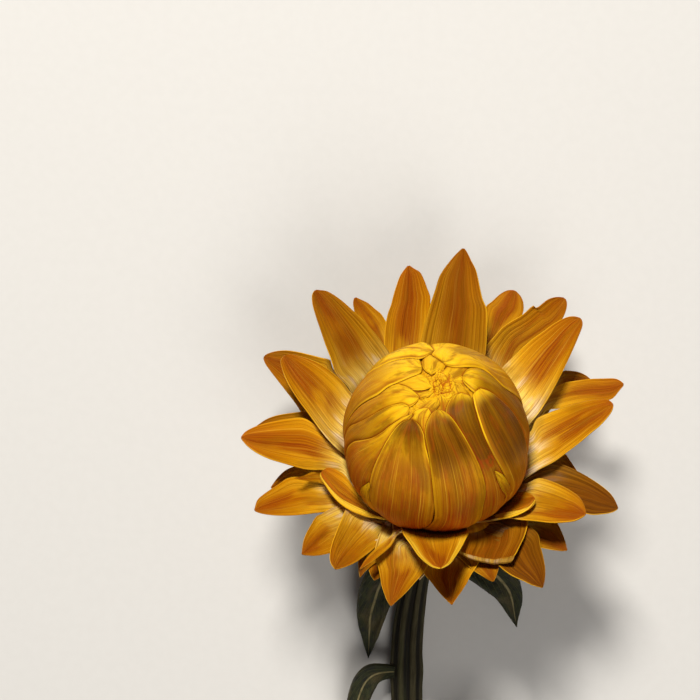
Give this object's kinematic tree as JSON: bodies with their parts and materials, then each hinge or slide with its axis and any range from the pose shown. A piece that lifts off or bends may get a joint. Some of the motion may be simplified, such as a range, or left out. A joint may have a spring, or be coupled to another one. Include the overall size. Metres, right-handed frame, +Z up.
{
  "type": "dried strawflower",
  "caption": "Cut dried strawflower lying on a surface: a half-open papery head with a closed dome ringed by pointed bracts, on a ribbed bent stem with curled leaves.",
  "frame": {"origin": "the small flat spot under the stem, where it first lies on the surface behind the head", "axes": "+Z up from the surface, +Y along the stem towards the head, +X to the right seen from above with the head up"},
  "size_m": [0.0446, 0.146, 0.0308],
  "materials": {
    "dome_bract": "golden yellow papery bract with orange streaks, satin",
    "ray_bract": "golden orange papery bract, cream at its base, red-brown streaks, satin",
    "straw_scale": "straw-brown dry scale, satin",
    "dried_stem": "dark olive-brown, furrowed and matte",
    "dried_leaf": "dark olive-green dried leaf with a paler midrib, matte"
  },
  "bodies": {
    "root": {"closed_bracts": "dome_bract", "spreading_bracts": "ray_bract", "involucre": "straw_scale", "stem": "dried_stem", "leaf_1": "dried_leaf", "leaf_2": "dried_leaf", "leaf_3": "dried_leaf", "leaf_4": "dried_leaf", "leaf_5": "dried_leaf", "leaf_6": "dried_leaf"}
  },
  "joints": []
}
